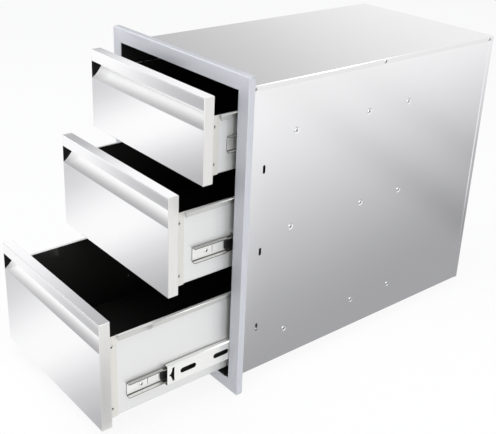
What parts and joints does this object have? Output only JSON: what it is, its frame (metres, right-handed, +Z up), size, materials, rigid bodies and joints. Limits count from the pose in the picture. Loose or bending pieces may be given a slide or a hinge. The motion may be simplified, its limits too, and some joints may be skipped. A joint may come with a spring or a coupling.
{
  "type": "outdoor kitchen drawer unit",
  "caption": "Built-in stainless steel drawer unit for an outdoor kitchen: face frame, deep folded box and a stack of drawers with finger-pull fronts on full-extension ball-bearing slides.",
  "frame": {"origin": "on the centre line, where the level of the box's underside meets the plane of the counter front, which is the plane of the face frame's folded-back edge", "axes": "+X to the right seen from the front, +Y back into the counter, +Z up; the drawers pull out along -Y"},
  "size_m": [0.356, 0.822, 0.535],
  "materials": {
    "frame_steel": "brushed",
    "front_steel": "polished",
    "box_steel": "bright rolled",
    "tray_steel": "satin",
    "slide_zinc": "bright zinc plated",
    "fastener_steel": "bright",
    "ball_steel": "polished",
    "lever_plastic": "matte"
  },
  "bodies": {
    "cabinet": {"face_frame": "frame_steel", "side_panel_left": "box_steel", "side_panel_right": "box_steel", "lid": "box_steel", "floor_panel": "box_steel", "back_panel": "box_steel", "slide_rivets": "fastener_steel", "lid_rivets": "fastener_steel", "cabinet_member_1_left": "slide_zinc", "cabinet_member_1_right": "slide_zinc", "cabinet_member_2_left": "slide_zinc", "cabinet_member_2_right": "slide_zinc", "cabinet_member_3_left": "slide_zinc", "cabinet_member_3_right": "slide_zinc"},
    "drawer_1": {"drawer_1_front": "front_steel", "drawer_1_backing": "tray_steel", "drawer_1_tray": "tray_steel", "drawer_1_tray_back": "tray_steel", "drawer_1_screws": "fastener_steel", "drawer_member_1_left": "slide_zinc", "drawer_member_1_right": "slide_zinc"},
    "middle_members_1": {"middle_member_1_left": "slide_zinc", "middle_member_1_right": "slide_zinc"},
    "outer_ball_cages_1": {"outer_cages_1": "slide_zinc", "outer_balls_1": "ball_steel"},
    "inner_ball_cages_1": {"inner_cages_1": "slide_zinc", "inner_balls_1": "ball_steel"},
    "lever_1_left": {"release_lever_1_left": "lever_plastic"},
    "lever_1_right": {"release_lever_1_right": "lever_plastic"},
    "drawer_2": {"drawer_2_front": "front_steel", "drawer_2_backing": "tray_steel", "drawer_2_tray": "tray_steel", "drawer_2_tray_back": "tray_steel", "drawer_2_screws": "fastener_steel", "drawer_member_2_left": "slide_zinc", "drawer_member_2_right": "slide_zinc"},
    "middle_members_2": {"middle_member_2_left": "slide_zinc", "middle_member_2_right": "slide_zinc"},
    "outer_ball_cages_2": {"outer_cages_2": "slide_zinc", "outer_balls_2": "ball_steel"},
    "inner_ball_cages_2": {"inner_cages_2": "slide_zinc", "inner_balls_2": "ball_steel"},
    "lever_2_left": {"release_lever_2_left": "lever_plastic"},
    "lever_2_right": {"release_lever_2_right": "lever_plastic"},
    "drawer_3": {"drawer_3_front": "front_steel", "drawer_3_backing": "tray_steel", "drawer_3_tray": "tray_steel", "drawer_3_tray_back": "tray_steel", "drawer_3_screws": "fastener_steel", "drawer_member_3_left": "slide_zinc", "drawer_member_3_right": "slide_zinc"},
    "middle_members_3": {"middle_member_3_left": "slide_zinc", "middle_member_3_right": "slide_zinc"},
    "outer_ball_cages_3": {"outer_cages_3": "slide_zinc", "outer_balls_3": "ball_steel"},
    "inner_ball_cages_3": {"inner_cages_3": "slide_zinc", "inner_balls_3": "ball_steel"},
    "lever_3_left": {"release_lever_3_left": "lever_plastic"},
    "lever_3_right": {"release_lever_3_right": "lever_plastic"}
  },
  "joints": [
    {"name": "drawer_1_slide", "type": "slide", "parent": "cabinet", "child": "drawer_1", "axis": [0, -1, 0], "range_m": [-0.058, 0.392]},
    {"name": "middle_members_1_slide", "type": "slide", "parent": "cabinet", "child": "middle_members_1", "axis": [0, -1, 0], "range_m": [-0.029, 0.196]},
    {"name": "outer_ball_cages_1_slide", "type": "slide", "parent": "cabinet", "child": "outer_ball_cages_1", "axis": [0, -1, 0], "range_m": [-0.0145, 0.098]},
    {"name": "inner_ball_cages_1_slide", "type": "slide", "parent": "cabinet", "child": "inner_ball_cages_1", "axis": [0, -1, 0], "range_m": [-0.0435, 0.294]},
    {"name": "lever_1_left_swing", "type": "hinge", "parent": "drawer_1", "child": "lever_1_left", "pos_m": [-0.1435, 0.095, 0.4082], "axis": [1, 0, 0], "range_deg": [-3, 3]},
    {"name": "lever_1_right_swing", "type": "hinge", "parent": "drawer_1", "child": "lever_1_right", "pos_m": [0.1435, 0.095, 0.4082], "axis": [1, 0, 0], "range_deg": [-3, 3]},
    {"name": "drawer_2_slide", "type": "slide", "parent": "cabinet", "child": "drawer_2", "axis": [0, -1, 0], "range_m": [-0.1175, 0.3325]},
    {"name": "middle_members_2_slide", "type": "slide", "parent": "cabinet", "child": "middle_members_2", "axis": [0, -1, 0], "range_m": [-0.03173, 0.08977]},
    {"name": "outer_ball_cages_2_slide", "type": "slide", "parent": "cabinet", "child": "outer_ball_cages_2", "axis": [0, -1, 0], "range_m": [-0.01586, 0.04489]},
    {"name": "inner_ball_cages_2_slide", "type": "slide", "parent": "cabinet", "child": "inner_ball_cages_2", "axis": [0, -1, 0], "range_m": [-0.07461, 0.21114]},
    {"name": "lever_2_left_swing", "type": "hinge", "parent": "drawer_2", "child": "lever_2_left", "pos_m": [-0.1435, 0.0355, 0.2455], "axis": [1, 0, 0], "range_deg": [-3, 3]},
    {"name": "lever_2_right_swing", "type": "hinge", "parent": "drawer_2", "child": "lever_2_right", "pos_m": [0.1435, 0.0355, 0.2455], "axis": [1, 0, 0], "range_deg": [-3, 3]},
    {"name": "drawer_3_slide", "type": "slide", "parent": "cabinet", "child": "drawer_3", "axis": [0, -1, 0], "range_m": [-0.235, 0.215]},
    {"name": "middle_members_3_slide", "type": "slide", "parent": "cabinet", "child": "middle_members_3", "axis": [0, -1, 0], "range_m": [-0.1551, 0.1419]},
    {"name": "outer_ball_cages_3_slide", "type": "slide", "parent": "cabinet", "child": "outer_ball_cages_3", "axis": [0, -1, 0], "range_m": [-0.07755, 0.07095]},
    {"name": "inner_ball_cages_3_slide", "type": "slide", "parent": "cabinet", "child": "inner_ball_cages_3", "axis": [0, -1, 0], "range_m": [-0.19505, 0.17845]},
    {"name": "lever_3_left_swing", "type": "hinge", "parent": "drawer_3", "child": "lever_3_left", "pos_m": [-0.1435, -0.082, 0.0548], "axis": [1, 0, 0], "range_deg": [-3, 3]},
    {"name": "lever_3_right_swing", "type": "hinge", "parent": "drawer_3", "child": "lever_3_right", "pos_m": [0.1435, -0.082, 0.0548], "axis": [1, 0, 0], "range_deg": [-3, 3]}
  ],
  "couplings": [
    {"joint": "middle_members_1_slide", "follows": "drawer_1_slide", "ratio": 0.5},
    {"joint": "outer_ball_cages_1_slide", "follows": "drawer_1_slide", "ratio": 0.25},
    {"joint": "inner_ball_cages_1_slide", "follows": "drawer_1_slide", "ratio": 0.75},
    {"joint": "middle_members_2_slide", "follows": "drawer_2_slide", "ratio": 0.27},
    {"joint": "outer_ball_cages_2_slide", "follows": "drawer_2_slide", "ratio": 0.135},
    {"joint": "inner_ball_cages_2_slide", "follows": "drawer_2_slide", "ratio": 0.635},
    {"joint": "middle_members_3_slide", "follows": "drawer_3_slide", "ratio": 0.66},
    {"joint": "outer_ball_cages_3_slide", "follows": "drawer_3_slide", "ratio": 0.33},
    {"joint": "inner_ball_cages_3_slide", "follows": "drawer_3_slide", "ratio": 0.83}
  ]
}
